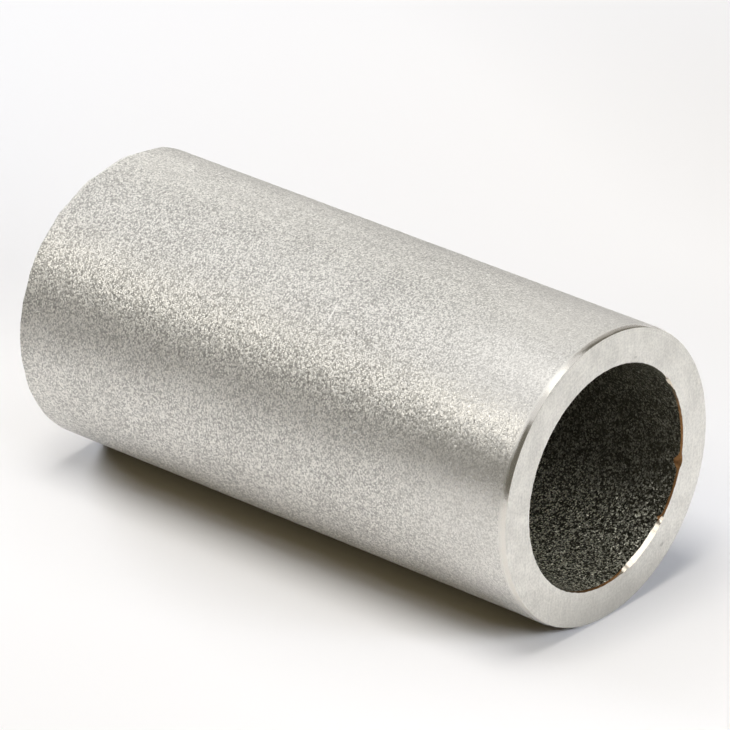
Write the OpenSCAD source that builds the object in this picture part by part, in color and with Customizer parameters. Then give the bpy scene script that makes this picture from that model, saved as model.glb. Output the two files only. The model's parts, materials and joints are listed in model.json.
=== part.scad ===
// Sintered filter element: a short porous tube pressed and sintered from metal powder.
// It stands on its rough end, with the machined mouth up and its axis on Z. Millimetres.

/* [Tube] */
// Outside diameter
outside_d = 20; // [17:0.5:40]
// Diameter of the bore
bore_d = 15; // [6:0.5:18]
// Length from the rough end to the machined face
tube_length = 41.4; // [15:0.1:120]

/* [Machined mouth] */
// How far the polished lip reaches down the outside
lip_length = 0.5; // [0.2:0.05:1.5]
// How far the lip falls away from the outside where it meets the face
lip_drop = 0.1; // [0.02:0.01:0.15]
// Width of the edge break where the bore meets the face
bore_break = 0.13; // [0.05:0.01:0.4]

/* [Crumbled edge of the rough end] */
// How far the largest flake reaches up the outside
flake_rise = 0.8; // [0.2:0.1:3]
// How far the largest flake reaches into the end face
flake_inset = 0.54; // [0.1:0.02:0.8]
// Direction of the largest flake, round the axis from +X
flake_direction = 172; // [0:1:359]
// Turn from each flake to the next, round the axis
flake_pitch = 17; // [6:1:24]

/* [Hidden] */
$fn = 128;
outside_r = outside_d / 2;
bore_r = bore_d / 2;
wall = outside_r - bore_r;
// The lip is an arc that starts level with the outside and has fallen by its drop at the face
lip_r = (lip_length * lip_length + lip_drop * lip_drop) / (2 * lip_drop);
// Size of each flake beside the largest, in order round the edge
flake_shares = [0.65, 1, 0.92, 0.67, 0.32];
largest_flake = search(max(flake_shares), flake_shares)[0];
// Every flake lies at the same slope, so a smaller one is narrower too
flake_slope = atan2(flake_rise, flake_inset);

// Half of the tube's section, drawn beside the axis, with both edges of the mouth finished
module wall_section() {
    difference() {
        translate([bore_r, 0])
            square([wall, tube_length]);
        translate([outside_r - lip_r, tube_length - lip_length])
            difference() {
                square(2 * lip_r);
                circle(lip_r);
            }
        translate([bore_r, tube_length])
            rotate(45)
                square(sqrt(2) * bore_break, center = true);
    }
}

// Everything outside one sloping plane that takes a flake off the edge of the rough end
module flake(share) {
    translate([outside_r - share * flake_inset, 0, 0])
        rotate([0, -flake_slope, 0])
            translate([-outside_r, -outside_r, -outside_r])
                cube([outside_d, outside_d, outside_r]);
}

module filter_tube() {
    color("silver")
        difference() {
            rotate_extrude()
                wall_section();
            for (i = [0 : len(flake_shares) - 1])
                rotate(flake_direction + (i - largest_flake) * flake_pitch)
                    flake(flake_shares[i]);
        }
}

filter_tube();
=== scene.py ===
# %% [markdown]
# # A sintered filter element
# The object is a short tube of metal powder, pressed into shape and heated until the grains weld to each
# other. Gas or liquid seeps through its wall. One end is turned smooth on a lathe to seal against a gasket,
# and the other end is left as it came from the mould. This lesson builds its looks in Blender around a
# finished CAD model, which fixes every size: we only add what a camera sees on top of that shape.

# %% Load the frame
import json
import math

import bpy
import numpy as np
from mathutils import Matrix, Vector


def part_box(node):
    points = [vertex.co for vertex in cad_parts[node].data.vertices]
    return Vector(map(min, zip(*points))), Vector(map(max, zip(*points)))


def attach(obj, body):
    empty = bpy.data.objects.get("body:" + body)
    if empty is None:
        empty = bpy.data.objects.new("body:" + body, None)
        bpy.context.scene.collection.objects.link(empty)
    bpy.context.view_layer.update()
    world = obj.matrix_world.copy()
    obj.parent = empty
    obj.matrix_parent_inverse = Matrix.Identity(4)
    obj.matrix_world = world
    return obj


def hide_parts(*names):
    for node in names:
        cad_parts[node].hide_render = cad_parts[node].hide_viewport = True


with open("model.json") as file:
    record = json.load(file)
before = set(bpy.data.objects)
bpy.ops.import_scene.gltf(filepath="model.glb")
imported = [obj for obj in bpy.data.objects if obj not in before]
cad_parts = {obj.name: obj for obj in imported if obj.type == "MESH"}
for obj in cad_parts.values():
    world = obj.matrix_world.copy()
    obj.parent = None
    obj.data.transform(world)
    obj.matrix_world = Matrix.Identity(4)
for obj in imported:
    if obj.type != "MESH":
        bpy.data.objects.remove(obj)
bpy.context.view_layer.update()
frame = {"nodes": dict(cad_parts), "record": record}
scene = bpy.context.scene
scene.view_settings.view_transform = "Standard"
print("nodes in the frame:", sorted(frame["nodes"]))

# %% Read the main sizes from the frame
MM = 0.001
low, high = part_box("filter_tube")
outside_r = (high.x - low.x) / 2
tube_length = high.z - low.z
mounts = {mount["name"]: mount for mount in frame["record"]["mounts"]}
bore_r = mounts["bore"]["dims"]["r_mm"] * MM
lip_length = tube_length - mounts["outside"]["dims"]["length_mm"] * MM
shoulder = tube_length - lip_length
print(f"outside radius {outside_r / MM:.2f} mm, bore radius {bore_r / MM:.2f} mm")
print(f"length {tube_length / MM:.2f} mm, of which the lip takes {lip_length / MM:.2f} mm")

# %% [markdown]
# ## How the photograph holds the tube
# The library stands the tube on its rough end, so its axis is Z. In the photograph it lies on a pale table.
# Turning the object would break the frame, so we turn the studio instead: one small function takes a place
# given in the photograph's own terms and returns it in the frame. Table, lamps and camera all go through it.

# %% Photograph to frame
def lying(along, away, up):
    """Along the tube to its mouth becomes Z, away from the camera stays Y, and up becomes minus X."""
    return Vector((-up, away, along))


middle = Vector((0, 0, tube_length / 2))
table_height = -outside_r
print("the table lies on the plane x =", round((middle + lying(0, 0, table_height)).x / MM, 2), "mm")

# %% [markdown]
# ## The camera
# The picture was taken with a long lens from in front of the mouth and a little above, so parallel edges stay
# almost parallel. The values below were fitted to the tube's edges. A camera looks along its own minus Z, so
# its axes are the picture's right, the picture's up and the direction back to the viewer.

# %% Place the camera
PICTURE_SIZE = 730
VIEW_TURN = math.radians(41.23)
VIEW_RISE = math.radians(26.21)
VIEW_DISTANCE = 476.3 * MM
FOCAL_PIXELS = 7384
SENSOR_WIDTH = 36
MIDDLE_PIXEL = (359.4, 381.7)

back = lying(
    math.sin(VIEW_TURN) * math.cos(VIEW_RISE),
    -math.cos(VIEW_TURN) * math.cos(VIEW_RISE),
    math.sin(VIEW_RISE),
)
right = lying(math.cos(VIEW_TURN), math.sin(VIEW_TURN), 0)
up = back.cross(right)
pixel = VIEW_DISTANCE / FOCAL_PIXELS
slide_right = (PICTURE_SIZE / 2 - MIDDLE_PIXEL[0]) * pixel
slide_up = (MIDDLE_PIXEL[1] - PICTURE_SIZE / 2) * pixel
place = middle + back * VIEW_DISTANCE + right * slide_right + up * slide_up

camera_data = bpy.data.cameras.new("camera")
camera_data.sensor_width = SENSOR_WIDTH
camera_data.lens = SENSOR_WIDTH * FOCAL_PIXELS / PICTURE_SIZE
camera_data.clip_start = 0.01
camera = bpy.data.objects.new("camera", camera_data)
camera.matrix_world = Matrix.Translation(place) @ Matrix((right, up, back)).transposed().to_4x4()
scene.collection.objects.link(camera)
scene.camera = camera
print("camera at", [round(v / MM, 1) for v in place], "mm, lens", round(camera_data.lens, 1), "mm")

# %% [markdown]
# ## The tube as one closed grid
# A turned part could be a spin of its section, but the rough end isn't round any more: crumbs have broken
# out of its edge. So the skin is worked out as a grid with numpy. One parameter runs round the axis and the
# other runs along the section: out across the rough end, up the outside, over the polished lip, in across
# the face, over the edge of the bore and back down inside. The last row meets the first, so the skin is
# closed.

# %% Angles round the axis
AROUND = 448
SEED = 20
angle = np.arange(AROUND) * (math.tau / AROUND)
rng = np.random.default_rng(SEED)
print("one step round the outside is", round(outside_r / MM * math.tau / AROUND, 3), "mm")

# %% [markdown]
# ## Crumbs along the rough edge
# The edge of the rough end is brittle. Five flakes in a row are gone on the side that faces up in the
# photograph, and small crumbs are missing all the way round. They could be cut out with booleans, one by
# one. But each break is a sloping plane that cuts the edge, so the end's surface is simply the highest of all
# these planes, or zero where none of them reaches.

# %% The rough end as a height over the plane z = 0
FLAKE_RISE = 0.8 * MM
FLAKE_INSET = 0.54 * MM
FLAKE_DIRECTION = math.radians(172)
FLAKE_PITCH = math.radians(17)
FLAKE_SHARES = np.array([0.65, 1, 0.92, 0.67, 0.32])
CRUMBS = 46
CRUMB_STRAY = 0.4
CRUMB_SHARES = (0.01, 0.16)

flake_turns = FLAKE_DIRECTION + (np.arange(len(FLAKE_SHARES)) - FLAKE_SHARES.argmax()) * FLAKE_PITCH
crumb_turns = (np.arange(CRUMBS) + rng.uniform(-CRUMB_STRAY, CRUMB_STRAY, CRUMBS)) * (math.tau / CRUMBS)
break_turns = np.concatenate([flake_turns, crumb_turns])
break_shares = np.concatenate([FLAKE_SHARES, rng.uniform(*CRUMB_SHARES, CRUMBS)])


def rough_end(radius):
    """Height of the rough end at these radii (rows) and all angles: the highest of the break planes.

    A plane starts at the radius outside_r - share * inset on its own direction and climbs by rise over inset.
    """
    reach = np.reshape(radius, (-1, 1, 1)) * np.cos(angle[None, :, None] - break_turns)
    climb = (reach - (outside_r - break_shares * FLAKE_INSET)) * (FLAKE_RISE / FLAKE_INSET)
    return np.maximum(climb.max(axis=2), 0)


rim = rough_end([outside_r])
print("deepest break in the edge:", round(rim.max() / MM, 2), "mm")

# %% [markdown]
# ## Lumps left by the powder
# Powder never packs evenly, so the skin is a little lumpy. A Displace modifier could push the points about,
# but its texture would show a seam. A sum of waves with random directions and phases gives smooth lumps that
# close round the axis, because every wave fits a whole number of times into the turn. The lumps only ever
# take material away, so the tube keeps the size of its CAD model.

# %% A lumpy skin
LUMP_WAVES = 60
LUMP_LENGTHS = (0.9 * MM, 2.6 * MM)
LUMP_DEPTH = 0.016 * MM


def lumps(heights):
    """Depth of the lumps at these heights (rows by angles): random waves, added up and pushed below zero."""
    length = rng.uniform(*LUMP_LENGTHS, LUMP_WAVES)
    heading = rng.uniform(0, math.tau, LUMP_WAVES)
    phase = rng.uniform(0, math.tau, LUMP_WAVES)
    turns = np.round(np.cos(heading) * math.tau * outside_r / length)
    climb = np.sin(heading) * math.tau / length
    total = np.zeros_like(heights)
    for wave in range(LUMP_WAVES):
        total += np.cos(turns[wave] * angle + climb[wave] * heights + phase[wave])
    return LUMP_DEPTH * (total.max() - total) / (total.max() - total.min())


print("lumps up to", LUMP_DEPTH / MM, "mm deep, from", LUMP_WAVES, "waves")

# %% [markdown]
# ## Edges of the mouth
# The tool that turned the face has pressed the outer edge into a short bright lip, which leaves the outside
# level and falls away along an arc to a fine corner. The bore's edge is hardly broken, except where the tool
# has smeared it into bright slopes, and at a chip and a nick. A Bevel modifier would give each edge one width
# all round, and porous metal doesn't hold such a clean edge. So an edge has a width for every angle here:
# waves make it uneven, and smooth bumps widen it at the smears, the chip and the nick.

# %% Uneven edges
BORE_BREAK = 0.13 * MM
EDGE_WAVES = (12, 90)
SMEAR = (math.radians(38), math.radians(15))
LOW_SMEAR = (math.radians(22), math.radians(16))
SHORT_SMEAR = (math.radians(126), math.radians(7))
CHIP = (math.radians(77), math.radians(5))
NICK = (math.radians(48), math.radians(1.6))


def ragged(least, most):
    """A value for each angle, from -1 to 1: a sum of waves with least to most periods in the turn."""
    turns = np.arange(least, most)
    phase = rng.uniform(0, math.tau, len(turns))
    total = np.cos(np.outer(angle, turns) + phase).sum(axis=1)
    return total / np.abs(total).max()


def beside(direction, reach):
    """A value for each angle: 1 at this direction, falling as a cosine to 0 at this reach on both sides."""
    away = np.abs((angle - direction + math.pi) % math.tau - math.pi)
    return 0.5 + 0.5 * np.cos(np.minimum(away / reach, 1) * math.pi)


chip = beside(*CHIP) + 0.6 * beside(*NICK)
smear = beside(*SMEAR) + beside(*LOW_SMEAR) + 0.5 * beside(*SHORT_SMEAR)
edge_width = BORE_BREAK * (0.75 + 0.2 * ragged(*EDGE_WAVES) + smear + 1.2 * chip)
edge_depth = edge_width * (1.2 + 0.8 * chip)
print(f"slope of the bore's edge: {edge_width.min() / MM:.3f} to {edge_width.max() / MM:.3f} mm wide")

# %% [markdown]
# ## The section, stretch by stretch
# Each stretch of the section is two arrays, the distance from the axis and the height, with a row for each
# step along the section and a column for each angle. A stretch stops one row short, because the next one
# starts there. Edges could be rounded by a modifier later on, but with rows of our own the lip keeps its
# arc, rows crowd only where the shape bends, and every row knows which finish it belongs to.

# %% The rough end and the outside
END_ROWS = 16
OUTSIDE_ROWS = 132
OUTSIDE_CROWDING = 1.15
LUMP_FADE = 6 * MM


def shares(rows):
    """A column of shares, one to a row: the row's number over the count, so that 1 itself is left out."""
    return (np.arange(rows) / rows)[:, None]


end_radius = bore_r + (outside_r - bore_r) * (1 - (1 - shares(END_ROWS)) ** 2)
end_rho = end_radius * np.ones(AROUND)
end_z = rough_end(end_radius)

outside_z = rim + (shoulder - rim) * shares(OUTSIDE_ROWS) ** OUTSIDE_CROWDING
fade = np.clip((shoulder - outside_z) / LUMP_FADE, 0, 1)
outside_rho = outside_r - lumps(outside_z) * fade
print(f"the outside runs from {outside_rho.min() / MM:.3f} to {outside_rho.max() / MM:.3f} mm off the axis")

# %% The polished lip and its corner
LIP_ROWS = 9
CORNER_ROWS = 4
LIP_DROP = 0.1 * MM
LIP_CORNER = 0.035 * MM
CORNER_WAVES = (40, 90)

lip_r = (lip_length**2 + LIP_DROP**2) / (2 * LIP_DROP)
corner_r = LIP_CORNER * (1 + 0.6 * ragged(*CORNER_WAVES))
lip_tilt = np.arcsin((lip_length - corner_r) / (lip_r - corner_r))
tilt = shares(LIP_ROWS) * lip_tilt
lip_rho = outside_r - lip_r + lip_r * np.cos(tilt)
lip_z = shoulder + lip_r * np.sin(tilt)

corner_middle = outside_r - lip_r + (lip_r - corner_r) * np.cos(lip_tilt)
turn = lip_tilt + shares(CORNER_ROWS) * (math.pi / 2 - lip_tilt)
corner_rho = corner_middle + corner_r * np.cos(turn)
corner_z = tube_length - corner_r + corner_r * np.sin(turn)
steepest = math.degrees(lip_tilt.max())
print(f"the lip is an arc of {lip_r / MM:.2f} mm that tilts by up to {steepest:.1f} degrees")

# %% The face, the bore's edge and the bore
FACE_ROWS = 7
EDGE_ROWS = 6
BORE_ROWS = 26

face_rho = corner_middle + (bore_r + edge_width - corner_middle) * shares(FACE_ROWS)
face_z = np.full_like(face_rho, tube_length)

edge_share = shares(EDGE_ROWS)
edge_rho = bore_r + edge_width * (1 - edge_share)
edge_z = tube_length - edge_depth * edge_share

bore_z = (tube_length - edge_depth) * (1 - shares(BORE_ROWS))
bore_rho = np.full_like(bore_z, bore_r)
print(f"the face is at least {(face_rho[0] - bore_r - edge_width).min() / MM:.2f} mm wide")

# %% All stretches together, each with its finish
EDGE_ZONE = 4
TINTED_ZONE = 6
SMEAR_SPREAD = 1.6

rho = np.concatenate([end_rho, outside_rho, lip_rho, corner_rho, face_rho, edge_rho, bore_rho])
height = np.concatenate([end_z, outside_z, lip_z, corner_z, face_z, edge_z, bore_z])
zone_rows = [END_ROWS, OUTSIDE_ROWS, LIP_ROWS + CORNER_ROWS, FACE_ROWS, EDGE_ROWS, BORE_ROWS]
zone = np.repeat(np.arange(len(zone_rows)), zone_rows)[:, None] * np.ones(AROUND, dtype=int)
unsmeared = edge_share >= np.minimum(smear * SMEAR_SPREAD, 1)
zone[zone == EDGE_ZONE] = np.where(unsmeared, TINTED_ZONE, EDGE_ZONE).ravel()
print("rows of the section:", len(rho), "triangles:", 2 * len(rho) * AROUND)

# %% Weave the grid into a mesh
SHARP = math.radians(30)


def closed_grid(name, rho, height, zone):
    """Points at (rho cos angle, rho sin angle, height), joined into cells.

    Each cell joins a row to the next and an angle to the next, and the last of both joins the first.
    """
    rows, around = rho.shape
    points = np.stack([rho * np.cos(angle), rho * np.sin(angle), height], axis=-1)
    index = np.arange(rows * around).reshape(rows, around)
    next_row = np.roll(index, -1, axis=0)
    cells = np.stack([index, np.roll(index, -1, axis=1), np.roll(next_row, -1, axis=1), next_row], axis=-1)
    mesh = bpy.data.meshes.new(name)
    mesh.vertices.add(rows * around)
    mesh.vertices.foreach_set("co", points.astype(np.float32).ravel())
    mesh.loops.add(cells.size)
    mesh.loops.foreach_set("vertex_index", cells.astype(np.int32).ravel())
    mesh.polygons.add(rows * around)
    mesh.polygons.foreach_set("loop_start", np.arange(0, cells.size, 4, dtype=np.int32))
    mesh.polygons.foreach_set("material_index", zone.astype(np.int32).ravel())
    mesh.update(calc_edges=True)
    mesh.validate()
    mesh.shade_smooth()
    mesh.set_sharp_from_angle(angle=SHARP)
    made = bpy.data.objects.new(name, mesh)
    scene.collection.objects.link(made)
    return made


tube = closed_grid("filter_tube_skin", rho, height, zone)
print("skin:", len(tube.data.vertices), "points,", len(tube.data.polygons), "faces")

# %% [markdown]
# ## Shader arithmetic as Python
# A finish is a graph of nodes, and most of the nodes are plain arithmetic. Wrapping a socket in a small class
# with operators lets us write the arithmetic as an expression, and each operator adds its Math node. Every
# other node comes from one method, which sets the node up first and then fills in or links its sockets.

# %% Wires and graphs
class Wire:
    """An output socket that Python arithmetic can use: each operator adds one Math node."""

    def __init__(self, graph, socket):
        self.graph = graph
        self.socket = socket

    def beside(self, output):
        """Another output of the same node."""
        return Wire(self.graph, self.socket.node.outputs[output])

    def math(self, operation, first, second):
        return self.graph.node("Math", {"operation": operation}, {0: first, 1: second})

    def __add__(self, other):
        return self.math("ADD", self, other)

    def __sub__(self, other):
        return self.math("SUBTRACT", self, other)

    def __rsub__(self, other):
        return self.math("SUBTRACT", other, self)

    def __mul__(self, other):
        return self.math("MULTIPLY", self, other)

    def __truediv__(self, other):
        return self.math("DIVIDE", self, other)

    def __rtruediv__(self, other):
        return self.math("DIVIDE", other, self)

    def __pow__(self, other):
        return self.math("POWER", self, other)

    __radd__ = __add__
    __rmul__ = __mul__


class Graph:
    """The nodes of one material or of the world."""

    def __init__(self, owner):
        owner.use_nodes = True
        self.owner = owner
        self.tree = owner.node_tree
        self.tree.nodes.clear()

    def node(self, kind, settings=None, sockets=None, output=0):
        """Add a node, set it up, then give each named socket its value or its link; returns one output."""
        made = self.tree.nodes.new("ShaderNode" + kind)
        for name, value in (settings or {}).items():
            setattr(made, name, value)
        for name, value in (sockets or {}).items():
            if isinstance(value, Wire):
                self.tree.links.new(value.socket, made.inputs[name])
            else:
                made.inputs[name].default_value = value
        return Wire(self, made.outputs[output]) if len(made.outputs) else None

    def object_place(self):
        """Object coordinates, which are the frame's own metres."""
        return self.node("TexCoord", output="Object")

    def split(self, vector):
        """The X of a vector, with Y and Z beside it."""
        return self.node("SeparateXYZ", None, {0: vector})

    def noise(self, place, size, detail=2.0):
        """Soft noise whose blotches are about this size in metres."""
        return self.node("TexNoise", None, {"Vector": place, "Scale": 1 / size, "Detail": detail})

    def step(self, value, start, stop):
        """A smooth step from 0 at start to 1 at stop."""
        settings = {"interpolation_type": "SMOOTHSTEP"}
        return self.node("MapRange", settings, {"Value": value, "From Min": start, "From Max": stop})

    def vector(self, operation, first, second):
        """Two vectors put together by a Vector Math node."""
        return self.node("VectorMath", {"operation": operation}, {0: first, 1: second})

    def scale(self, vector, factor):
        """A vector, or a colour taken as one, times a number."""
        return self.node("VectorMath", {"operation": "SCALE"}, {0: vector, "Scale": factor})

    def mix(self, mask, first, second):
        """First colour where the mask is 0, second where it is 1."""
        return self.node("Mix", {"data_type": "RGBA"}, {0: mask, 6: first, 7: second}, 2)

    def finish(self, shader, kind="OutputMaterial"):
        """Link the shader to the output, and return the material or world it now belongs to."""
        self.node(kind, None, {"Surface": shader})
        print(self.owner.name, "has", len(self.tree.nodes), "nodes")
        return self.owner


def rgb(red, green, blue):
    """A colour the way a socket takes it, with an alpha of 1."""
    return (red, green, blue, 1.0)


def bare_metal(graph, colour, roughness, relief):
    """Metal with this colour and roughness, and a relief that is already a height in metres."""
    normal = graph.node("Bump", None, {"Strength": 1.0, "Distance": 1.0, "Height": relief})
    sockets = {"Base Color": colour, "Metallic": 1.0, "Roughness": roughness, "Normal": normal}
    return graph.finish(graph.node("BsdfPrincipled", None, sockets))


# %% [markdown]
# ## The powder
# Up close the skin is a bed of bright grains with pores between them, near the limit of what the picture
# resolves. The pores look dark from the shade that falls into them, and that shade is painted into the colour
# of the gaps. Each grain is a small facet with a tilt of its own, so one mirrors the lamp while its neighbour
# mirrors a dark corner of the room: that is what makes the metal sparkle. Modelled one by one, the grains
# would take millions of faces. Cell noise gives one cell to each grain instead, and the cell's random colour
# serves as its lift and its tilt.

# %% Powder grains
GRAIN = 0.1 * MM


def grains(graph, place):
    """Grains of the powder: a dome (1 at its middle, lower in the gaps), a random lift and a tilted facet.

    The facet's height is the offset from the grain's middle, times a random vector from -0.5 to 0.5.
    """
    cell = graph.node("TexVoronoi", {"feature": "F1"}, {"Vector": place, "Scale": 1 / GRAIN})
    lift = graph.split(cell.beside("Color"))
    tilt = graph.vector("SUBTRACT", cell.beside("Color"), (0.5, 0.5, 0.5))
    offset = graph.vector("SUBTRACT", place, cell.beside("Position"))
    facet = graph.vector("DOT_PRODUCT", offset, tilt).beside("Value")
    return 1 - cell * cell, lift, facet


print("about", round(outside_r * math.tau / GRAIN), "grains go round the outside")

# %% [markdown]
# ## Scratches
# A few short scratches and pits are large enough to see. They are too fine to model, and a painted picture
# would need a map of the whole skin. A line between two points needs only the distance from it: near the
# line the mask is 1, and a little further off it is 0. On the outside the two coordinates are the way round
# the axis and the height, and on the face they are X and Y.

# %% Distance from a line
def off_line(graph, place, start, stop):
    """Distance of a place from a straight line: its offset from the start, less the share along the line."""
    start, stop = Vector(start), Vector(stop)
    span = stop - start
    offset = graph.vector("SUBTRACT", place, start)
    share = graph.vector("DOT_PRODUCT", offset, span / span.length_squared).beside("Value")
    foot = graph.scale(span, graph.node("Clamp", None, {0: share}))
    return graph.vector("DISTANCE", offset, foot).beside("Value")


def scratches(graph, place, lines):
    """A mask that is 1 on these lines, each given as start, stop, half its width and its strength."""
    total = 0
    for start, stop, width, strength in lines:
        off = off_line(graph, place, start, stop)
        total = total + (1 - graph.step(off, width * 0.4, width * 1.6)) * strength
    return total


# %% Where the scratches run
FINE = 0.05 * MM
PIT = 0.09 * MM


def on_outside(turn, height):
    """A place on the unrolled outside: the way round the axis and the height, in metres."""
    return (math.radians(turn - 180) * outside_r, height * MM, 0)


def on_face(turn, radius):
    """A place on the face, given by its direction in degrees and its radius in millimetres."""
    return (math.cos(math.radians(turn)) * radius * MM, math.sin(math.radians(turn)) * radius * MM, 0)


OUTSIDE_SCRATCHES = [
    (on_outside(240.2, 24.0), on_outside(244.5, 24.3), FINE, 0.8),
    (on_outside(240.5, 25.9), on_outside(245.0, 26.2), FINE, 0.6),
    (on_outside(248.5, 13.5), on_outside(252.5, 13.7), FINE, 0.7),
    (on_outside(220.2, 26.1), on_outside(220.9, 26.2), PIT, 0.7),
    (on_outside(221.2, 27.2), on_outside(221.6, 27.2), PIT, 0.6),
]
OUTSIDE_SHINES = [(on_outside(219.8, 23.7), on_outside(213.0, 23.6), FINE, 0.7)]
FACE_SCRATCHES = [
    (on_face(262.0, 9.8), on_face(267.2, 7.8), FINE, 0.15),
    (on_face(38.8, 8.9), on_face(39.6, 8.95), 0.1 * MM, 0.6),
    (on_face(160.2, 7.94), on_face(161.0, 7.92), 0.08 * MM, 0.5),
]
outside_marks = len(OUTSIDE_SCRATCHES) + len(OUTSIDE_SHINES)
print("scratches and pits:", outside_marks, "on the outside,", len(FACE_SCRATCHES), "on the face")

# %% [markdown]
# ## The sintered outside
# The outside is bare grey metal, salted with bright grains, in soft blotches where the powder lay more or
# less dense. The grains stand out most on the flank that faces the camera, and some odd ones are brighter
# and steeper. Near the mouth a tool has pressed the bed flat. A wrapped picture of powder would stretch and
# show a seam, so colour and relief both come from the grains, and every change is a smooth step in space.

# %% Finish of the outside
GRAIN_DARK = rgb(0.365, 0.356, 0.334)
GRAIN_BRIGHT = rgb(0.85, 0.832, 0.785)
GRAIN_ODD = rgb(0.96, 0.945, 0.9)
SCRATCH_DARK = rgb(0.22, 0.21, 0.19)
SCRATCH_BRIGHT = rgb(1.0, 0.98, 0.94)
BLOTCH = 3.5 * MM
PRESSED = (27 * MM, 41 * MM)
BOLD_FLANK = (-4 * MM, 9 * MM)
OUTSIDE_DOME = 0.003 * MM


def sintered_outside():
    """Colour from dark to bright by each grain's dome and lift; relief is the facet's slope and the dome."""
    graph = Graph(bpy.data.materials.new("sintered_outside"))
    place = graph.object_place()
    parts = graph.split(place)
    height = parts.beside("Z")
    front = 0 - parts.beside("Y")
    turn = graph.node("Math", {"operation": "ARCTAN2"}, {0: front, 1: 0 - parts.beside("X")})
    unrolled = graph.node("CombineXYZ", None, {"X": turn * outside_r, "Y": height})
    dome, lift, facet = grains(graph, place)
    pressed = graph.step(height, *PRESSED)
    bold = graph.step(front, *BOLD_FLANK)
    odd = graph.step(lift.beside("Y"), 0.84, 0.96)
    # Painted shade in the pores: the dome makes the gaps between grains darker, while the lift is the grains'
    # own random tone.
    speck = graph.step(dome * 0.5 + lift * 0.5, 0.25, 0.95) + graph.noise(place, BLOTCH, 3.0) * 0.3 - 0.15
    speck = 0.5 + (speck - 0.5) * (0.8 + bold * 0.4)
    speck = speck * (1 - pressed * 0.55) + pressed * 0.36
    colour = graph.mix(speck, GRAIN_DARK, GRAIN_BRIGHT)
    colour = graph.mix(scratches(graph, unrolled, OUTSIDE_SCRATCHES), colour, SCRATCH_DARK)
    colour = graph.mix(scratches(graph, unrolled, OUTSIDE_SHINES), colour, SCRATCH_BRIGHT)
    colour = graph.mix(odd * 0.35, colour, GRAIN_ODD)
    slope = (0.16 + odd * 0.3) * (1 - pressed * 0.5)
    return bare_metal(graph, colour, 0.46 - pressed * 0.12, facet * slope + dome * OUTSIDE_DOME)


outside_finish = sintered_outside()

# %% [markdown]
# ## The bore
# No tool has touched the bore, so its grains are steeper than those outside, and dark in the gaps, where the
# shade in the pores is painted in. Its lower side is painted brighter, as painted light where the light from
# the mouth falls, and its upper side stays darker. It is the same bed of grains with a wider range of tones.

# %% Finish of the bore
BORE_DARK = rgb(0.07, 0.067, 0.045)
BORE_BRIGHT = rgb(1.0, 0.985, 0.84)
LIT_LOWER_SIDE = (2.5 * MM, 8 * MM)
BORE_DOME = 0.006 * MM


def sintered_bore():
    """Colour from dark to bright by each grain's lift, to a power that leaves only a few of them bright.

    The lower side is brighter as painted light, and the upper side darker as painted shade.
    """
    graph = Graph(bpy.data.materials.new("sintered_bore"))
    place = graph.object_place()
    dome, lift, facet = grains(graph, place)
    # Painted light and shade: the bore gets brighter towards its lower side, where light through the mouth
    # falls.
    painted_light = graph.step(graph.split(place), *LIT_LOWER_SIDE)
    speck = graph.step(dome * 0.3 + lift * 0.7, 0.3, 1.0) ** 1.8 * (0.4 + painted_light * 1.15)
    colour = graph.mix(speck, BORE_DARK, BORE_BRIGHT)
    return bare_metal(graph, colour, 0.6, facet * 1.2 + dome * BORE_DOME)


bore_finish = sintered_bore()

# %% [markdown]
# ## The machined face
# The lathe has left a satin face with fine rings, and handling has left strokes, pores and cloudy patches on
# it. Its lower side is darkened with painted shade, for the shadowed table that it mirrors there. Rings could
# be cut into the mesh, but they are finer than its rows. One-way noise on the distance from the axis gives
# rings of uneven strength, and noise on squeezed coordinates gives strokes that all run one way.

# %% Finish of the face
FACE_DARK = rgb(0.57, 0.56, 0.527)
FACE_BRIGHT = rgb(0.905, 0.889, 0.835)
FACE_PAINTED_SHADE = rgb(0.44, 0.43, 0.39)
FACE_SCRATCH = rgb(0.33, 0.32, 0.29)
RING = 0.12 * MM
PORE = 0.16 * MM
CLOUD = 1.4 * MM
STROKE = 0.11 * MM
STROKE_SQUEEZE = (0.12, 1.0, 1.0)
RING_RELIEF = 0.002 * MM
PORE_RELIEF = 0.005 * MM
PAINTED_SHADE_SIDE = (5.5 * MM, 10.5 * MM)


def machined_face():
    """Colour from dark to bright by a weighted sum of rings, strokes, pores and clouds, then painted shade
    below.
    """
    graph = Graph(bpy.data.materials.new("machined_face"))
    place = graph.object_place()
    across = graph.split(place)
    upright = across.beside("Y")
    radius = (across * across + upright * upright) ** 0.5
    one_way = {"noise_dimensions": "1D"}
    rings = graph.node("TexNoise", one_way, {"W": radius, "Scale": 1 / RING, "Detail": 3.0})
    pores = graph.noise(place, PORE)
    clouds = graph.noise(place, CLOUD)
    strokes = graph.noise(graph.vector("MULTIPLY", place, STROKE_SQUEEZE), STROKE)
    tone = rings * 0.12 + strokes * 0.18 + pores * 0.4 + clouds * 0.3
    colour = graph.mix(graph.step(tone, 0.25, 0.75), FACE_DARK, FACE_BRIGHT)
    # Painted shade: the lower side of the face is darker, for the shadowed table that it mirrors.
    colour = graph.mix(graph.step(across, *PAINTED_SHADE_SIDE) * 0.6, colour, FACE_PAINTED_SHADE)
    flat = graph.node("CombineXYZ", None, {"X": across, "Y": upright})
    colour = graph.mix(scratches(graph, flat, FACE_SCRATCHES), colour, FACE_SCRATCH)
    return bare_metal(graph, colour, 0.26 + pores * 0.16, rings * RING_RELIEF + pores * PORE_RELIEF)


face_finish = machined_face()
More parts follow.
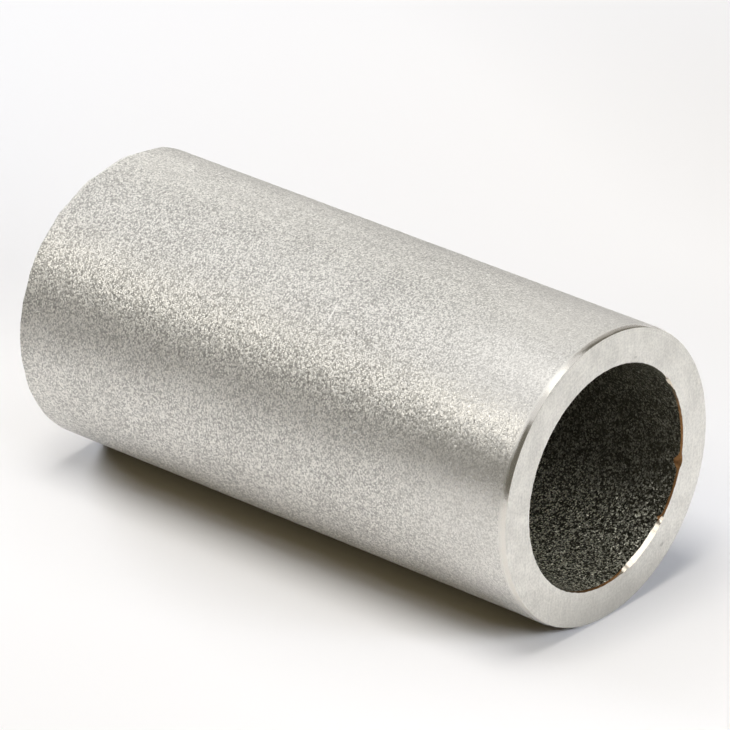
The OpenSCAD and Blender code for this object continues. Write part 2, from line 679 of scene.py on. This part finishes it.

# %% [markdown]
# ## Burnished and tinted edges
# Where the tool has rubbed hard, along the lip and in the smears on the bore's edge, the metal is burnished
# until it mirrors. The rest of the bore's edge has dark grains, and on one side they turn into brown streaks.
# One mask over a single finish could do all this, but the edges are only a few rows wide, so each kind of
# edge is a finish of its own on the faces that belong to it.

# %% Finishes of the edges
BURNISHED_DARK = rgb(0.66, 0.645, 0.6)
BURNISHED_BRIGHT = rgb(0.78, 0.762, 0.715)
BURNISHED_STREAK = 0.3 * MM
BURNISHED_RELIEF = 0.004 * MM
LIP_WARM = rgb(0.71, 0.683, 0.626)
LIP_DULL = 0.16
SMEAR_WARM = rgb(0.8, 0.72, 0.6)
EDGE_DARK_GRAIN = rgb(0.1, 0.095, 0.07)
BROWN_DARK = rgb(0.11, 0.045, 0.012)
BROWN_BRIGHT = rgb(0.42, 0.23, 0.1)
BROWN_STREAK = 0.2 * MM
EDGE_DARK_RELIEF = 0.006 * MM
TINT_DIRECTION = math.radians(45)
TINTED_SIDE = (1 * MM, 5 * MM)
LIP_TOP = tube_length - 0.15 * MM


def polished_edge(name, dull, warm):
    """Burnished metal: rougher by dull where it leaves the outside, and tinted with warm at its corner."""
    graph = Graph(bpy.data.materials.new(name))
    place = graph.object_place()
    streak = graph.noise(place, BURNISHED_STREAK)
    upper = graph.step(graph.split(place).beside("Z"), shoulder, LIP_TOP)
    colour = graph.mix(upper, graph.mix(streak, BURNISHED_DARK, BURNISHED_BRIGHT), warm)
    return bare_metal(graph, colour, 0.1 + streak * 0.14 + (1 - upper) * dull, streak * BURNISHED_RELIEF)


def tinted_edge():
    """Dark grains, turning to brown streaks with the distance from the axis along the tint's direction."""
    graph = Graph(bpy.data.materials.new("tinted_bore_edge"))
    place = graph.object_place()
    parts = graph.split(place)
    side = parts * math.cos(TINT_DIRECTION) + parts.beside("Y") * math.sin(TINT_DIRECTION)
    streak = graph.noise(place, BROWN_STREAK)
    brown = graph.mix(streak, BROWN_DARK, BROWN_BRIGHT)
    colour = graph.mix(graph.step(side, *TINTED_SIDE), EDGE_DARK_GRAIN, brown)
    return bare_metal(graph, colour, 0.45, streak * EDGE_DARK_RELIEF)


lip_finish = polished_edge("polished_lip", LIP_DULL, LIP_WARM)
smear_finish = polished_edge("polished_bore_edge", 0.0, SMEAR_WARM)
tinted_finish = tinted_edge()

# %% [markdown]
# ## Dressing the tube
# The finishes go onto the mesh in the order of the zones: rough end, outside, lip, face, bore's edge, bore,
# and last the tinted part of the bore's edge. The skin then rides on the frame's only body and takes the
# place of the plain CAD tube.

# %% Finishes onto the skin
end_finish = outside_finish
upper_finishes = [lip_finish, face_finish, smear_finish, bore_finish, tinted_finish]
for finish in [end_finish, outside_finish, *upper_finishes]:
    tube.data.materials.append(finish)
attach(tube, "root")
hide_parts("filter_tube")
print("zones of the skin:", [material.name for material in tube.data.materials])

# %% [markdown]
# ## The table
# In the photograph the tube lies on a white table that fills the whole background. In the frame that table
# is an upright plane beside the tube. Only its front is there: seen from behind it is clear. A lamp close to
# each end will light it unevenly, and one plain colour would burn out in places. So behind the tube the table
# gets the opposite tone: darker where more light falls. Far from the tube, where no shadow reaches, it turns
# into the same white as the surroundings, but only for what the camera or the metal sees. That white isn't a
# lamp, so it is left out of the search for lamps (emission_sampling).

# %% Shares of the light
MAIN_SHARE = 0.46
RIGHT_SHARE = 0.262
LEFT_SHARE = 0.268
FILL_SHARE = 0.1
AMBIENT = 0.012
STRIP_ALONG = 122.5 * MM
STRIP_AWAY = -7 * MM
STRIP_UP = 66 * MM


def strip_light(along, away, side):
    """Light of one strip on the table, as a share of what it gives under the tube's middle.

    It is (cosine at lamp) * (cosine at table) / distance^2, over the same at the middle.
    """
    reach = STRIP_ALONG**2 + STRIP_UP**2
    off = along - side * STRIP_ALONG
    aside = away - STRIP_AWAY
    square = off * off + aside * aside + STRIP_UP**2
    return (STRIP_UP**2 - off * (side * STRIP_ALONG)) * reach / (square * square)


print("shares add up to", round(MAIN_SHARE + RIGHT_SHARE + LEFT_SHARE + FILL_SHARE + AMBIENT, 3))

# %% A one-sided table
TABLE_REACH = 1.2
TABLE_COLOUR = (0.955, 0.938, 0.938)
TONED_REAR = (28 * MM, 58 * MM)
EVEN_LIGHT = 1.03
TONE_LEAST = 0.5
TONE_MOST = 1.045
WHITE = rgb(0.955, 0.95, 0.965)
WHITE_FAR = (55 * MM, 120 * MM)


def panel(name, corners):
    """A flat four-sided piece of the stage, facing the side from which its corners run anticlockwise."""
    mesh = bpy.data.meshes.new(name)
    mesh.from_pydata([middle + lying(*corner) for corner in corners], [], [(0, 1, 2, 3)])
    made = bpy.data.objects.new(name, mesh)
    scene.collection.objects.link(made)
    return made


def seen_rays(graph):
    """1 for what the camera sees, directly or in metal and glass, and 0 for light that falls on the table."""
    path = graph.node("LightPath", output="Is Camera Ray")
    return path + path.beside("Is Glossy Ray") + path.beside("Is Transmission Ray")


def table_top():
    """Matt colour times a tone (even light over lamp light), white far off and clear from behind."""
    graph = Graph(bpy.data.materials.new("table_top"))
    parts = graph.split(graph.object_place())
    along = parts.beside("Z") - middle.z
    away = parts.beside("Y")
    strips = strip_light(along, away, 1) * RIGHT_SHARE + strip_light(along, away, -1) * LEFT_SHARE
    lamps = strips + (MAIN_SHARE + FILL_SHARE + AMBIENT)
    even = graph.node("Clamp", None, {0: EVEN_LIGHT / lamps, 1: TONE_LEAST, 2: TONE_MOST})
    tone = 1 + (even - 1) * graph.step(away - along, *TONED_REAR)
    sockets = {"Base Color": graph.scale(TABLE_COLOUR, tone), "Roughness": 1.0, "Specular IOR Level": 0.0}
    matt = graph.node("BsdfPrincipled", None, sockets)
    glow = graph.node("Emission", None, {"Color": WHITE, "Strength": 1.0})
    far = graph.step((along * along + away * away) ** 0.5, *WHITE_FAR)
    front = graph.node("MixShader", None, {0: far * seen_rays(graph), 1: matt, 2: glow})
    behind = graph.node("NewGeometry", output="Backfacing")
    clear = graph.node("BsdfTransparent")
    material = graph.finish(graph.node("MixShader", None, {0: behind, 1: front, 2: clear}))
    material.cycles.emission_sampling = "NONE"
    return material


signs = [(-1, -1), (1, -1), (1, 1), (-1, 1)]
table = panel("table", [(a * TABLE_REACH, b * TABLE_REACH, table_height) for a, b in signs])
table.data.materials.append(table_top())

# %% [markdown]
# ## Light
# The shadow tells where the lamps stood. Along the flank it is soft, so the main lamp is broad: it stands far
# off, high up and leaning to the camera. Close to the tube the shadow is warm and deepens slowly, which takes
# a weak warm fill, low and in front. At both ends the shadow is thin, yet none of it runs on past the other
# end, and that takes a lamp close to each end: strong where it is near and weak at the far end. So a short
# strip stands beside each end. Together the lamps give a white table just as much light as it needs to look
# white. None of them shows in the metal, which has cards of its own, and the table ignores the metal's own
# gleam. The world is white for what the camera and the metal see, and almost dark for the table.

# %% Soft lamps
WARM = (1.0, 0.985, 0.945)
COOL = (0.955, 1.0, 1.08)
SHADE = (1.0, 0.84, 0.5)
MAIN_SPOT = (0, -1.0, 5.0)
MAIN_HALVES = (1.15, 1.3)
FILL_SPOT = (0, -0.725, 0.688)
FILL_HALVES = (0.4, 0.335)
RIGHT_SPOT = (STRIP_ALONG, STRIP_AWAY, STRIP_UP)
LEFT_SPOT = (-STRIP_ALONG, STRIP_AWAY, STRIP_UP)
STRIP_HALVES = (13 * MM, 43 * MM)
PATCHES = 41


def soft_lamp(name, spot, halves, share, colour):
    """A lamp that faces the table under the tube from this spot and gives that place this share of its light.

    A patch of power p at a distance r gives p * (cosine at lamp) * (cosine at table) / (pi * r)^2 of the
    light that a white table needs; the mean of that over the lamp's length tells the power.
    """
    half_along, half_away = halves
    reach = lying(*spot)
    outwards = reach.normalized()
    side = lying(0, 1, 0).cross(outwards).normalized()
    off = np.linspace(-half_away, half_away, PATCHES)
    given = np.mean(reach.length * reach.dot(lying(0, 0, 1)) / (reach.length**2 + off**2) ** 2)
    data = bpy.data.lights.new(name, "AREA")
    data.shape = "RECTANGLE"
    data.size = 2 * half_along
    data.size_y = 2 * half_away
    data.color = colour
    data.energy = share * math.pi**2 / given
    data.cycles.use_multiple_importance_sampling = False
    made = bpy.data.objects.new(name, data)
    axes = Matrix((side, outwards.cross(side), outwards)).transposed().to_4x4()
    made.matrix_world = Matrix.Translation(middle + lying(0, 0, table_height) + reach) @ axes
    made.visible_glossy = False
    made.visible_camera = False
    scene.collection.objects.link(made)
    print(name, "power", round(data.energy, 2), "W")


soft_lamp("main_lamp", MAIN_SPOT, MAIN_HALVES, MAIN_SHARE, WARM)
soft_lamp("front_fill", FILL_SPOT, FILL_HALVES, FILL_SHARE, SHADE)
soft_lamp("right_strip", RIGHT_SPOT, STRIP_HALVES, RIGHT_SHARE, COOL)
soft_lamp("left_strip", LEFT_SPOT, STRIP_HALVES, LEFT_SHARE, COOL)
tube.visible_diffuse = False

# %% White surroundings
scene.world = bpy.data.worlds.new("studio")
graph = Graph(scene.world)
dim = graph.node("Background", None, {"Color": rgb(*SHADE), "Strength": AMBIENT})
bright = graph.node("Background", None, {"Color": WHITE, "Strength": 1.0})
graph.finish(graph.node("MixShader", None, {0: seen_rays(graph), 1: dim, 2: bright}), "OutputWorld")

# %% [markdown]
# ## What the metal mirrors
# Bright metal shows its surroundings, so a photographer stands cards and light boxes round it. The dark ones
# give the tube its dark streak and the shade at the edge of its lip, the bright ones its highlights, and the
# level ones beside its ends hide the bright ground under the strips. Only the metal sees them. Lamps behind
# real cards would light the table too, so these cards glow by themselves. They are left out of the search for
# lamps (emission_sampling), because they would draw samples away from the lamps that light the table.

# %% Cards that only the metal sees
def card_finish(name, colour, strength):
    """A card that shines with its own colour, so that its tone in the metal doesn't depend on the lamps."""
    graph = Graph(bpy.data.materials.new(name))
    material = graph.finish(graph.node("Emission", None, {"Color": colour, "Strength": strength}))
    material.cycles.emission_sampling = "NONE"
    return material


def card(name, corners, finish):
    """A flat card with its corners in millimetres, given as along, away and up."""
    made = panel(name, [[value * MM for value in corner] for corner in corners])
    made.data.materials.append(finish)
    made.visible_camera = False
    made.visible_diffuse = False
    made.visible_transmission = False
    made.visible_shadow = False


def wall(name, start, stop, bottom, top, finish):
    """An upright card between two places on the table, given as along and away, from bottom to top."""
    card(name, [(*start, bottom), (*stop, bottom), (*stop, top), (*start, top)], finish)


def level(name, along, away, up, finish):
    """A level card between two values along the tube and two away from the camera."""
    (left, right), (near, far) = along, away
    card(name, [(left, near, up), (right, near, up), (right, far, up), (left, far, up)], finish)


dark_room = card_finish("dark_room", rgb(1.0, 0.94, 0.8), 0.18)
grey_room = card_finish("grey_room", rgb(1.0, 0.97, 0.93), 0.5)
pale_room = card_finish("pale_room", rgb(1.0, 0.985, 0.97), 0.95)
paper = card_finish("paper", rgb(1.0, 0.985, 0.97), 0.9)
box_light = card_finish("box_light", rgb(1.0, 0.995, 0.99), 1.7)
window_light = card_finish("window_light", rgb(1.0, 0.965, 0.88), 3.8)
sky_light = card_finish("sky_light", rgb(1.0, 0.995, 0.98), 1.2)
low_sky_light = card_finish("low_sky_light", rgb(1.0, 0.995, 0.98), 2.6)

# %% Stand the cards round the tube, in millimetres
wall("front_card", (-600, -250), (600, -250), -10, 131, dark_room)
level("front_floor", (-600, 600), (-250, -170), -9.6, dark_room)
level("left_floor", (-600, -34), (-170, 399), -9.8, grey_room)
level("right_floor", (38, 449), (-170, 399), -9.8, paper)
wall("window_strip", (-640, -251), (-232, -251), 166, 290, window_light)
wall("front_sky", (-640, -252), (-232, -252), 290, 340, sky_light)
wall("front_right_card", (-70, -255), (450, -255), 131, 290, dark_room)
wall("right_card", (450, -255), (450, 400), -10, 280, dark_room)
wall("right_box", (430, -270), (430, 330), 290, 760, box_light)
wall("rear_right_card", (450, 400), (-110, 400), 60, 620, dark_room)
wall("rear_grey_card", (-110, 400), (-220, 400), 60, 620, grey_room)
wall("rear_pale_card", (-220, 400), (-375, 400), -10, 620, pale_room)
wall("low_rear_sky", (-375, 402), (-1300, 402), -10, 260, low_sky_light)
wall("rear_sky", (-375, 402), (-1300, 402), 260, 900, sky_light)
level("rear_ceiling", (-70, 150), (115, 399), 330, dark_room)
level("rear_grey_ceiling", (-190, -70), (95, 399), 330, grey_room)
card("box_card", [(-260, -90, 330), (120, -120, 330), (120, 5, 330), (-260, 45, 330)], box_light)

# %% [markdown]
# A skin that grew past its CAD model would no longer fit its neighbours. The box round the frame was kept
# straight after loading, and the function below turns a box into plain numbers.

# %% A box as plain numbers
def corners(box):
    """A box as plain lists of numbers."""
    return [[float(value) for value in corner] for corner in box]
